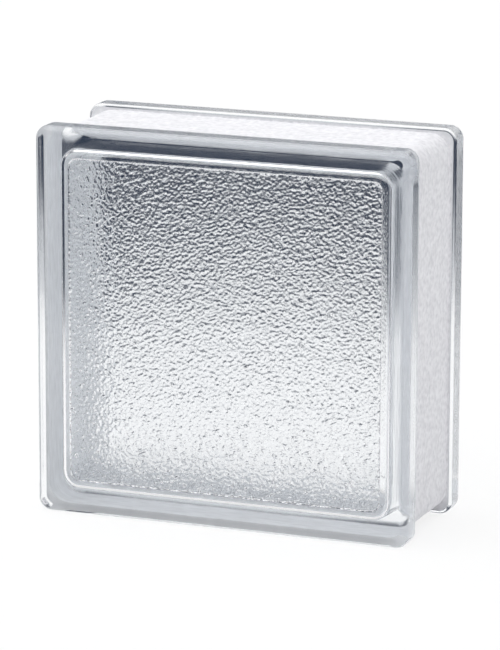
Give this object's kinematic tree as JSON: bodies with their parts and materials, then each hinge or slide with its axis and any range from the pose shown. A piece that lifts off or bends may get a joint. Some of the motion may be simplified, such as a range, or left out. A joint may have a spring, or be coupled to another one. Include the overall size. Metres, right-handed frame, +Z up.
{
  "type": "glass block",
  "caption": "Square hollow glass block with pebbled glass faces, rounded rims and a white-coated mortar channel round its edge, for glazed walls and screens.",
  "frame": {"origin": "middle of the footprint, on the plane of the rims that the block stands on", "axes": "+Z up, +X along the width, front face towards -Y"},
  "size_m": [0.19, 0.08, 0.19],
  "materials": {
    "clear_glass": "clear pressed glass, smooth outside and pebbled on the inner faces",
    "white_coat": "thin matt white edge coating"
  },
  "bodies": {
    "root": {"front_half": "clear_glass", "rear_half": "clear_glass", "edge_coating": "white_coat"}
  },
  "joints": []
}
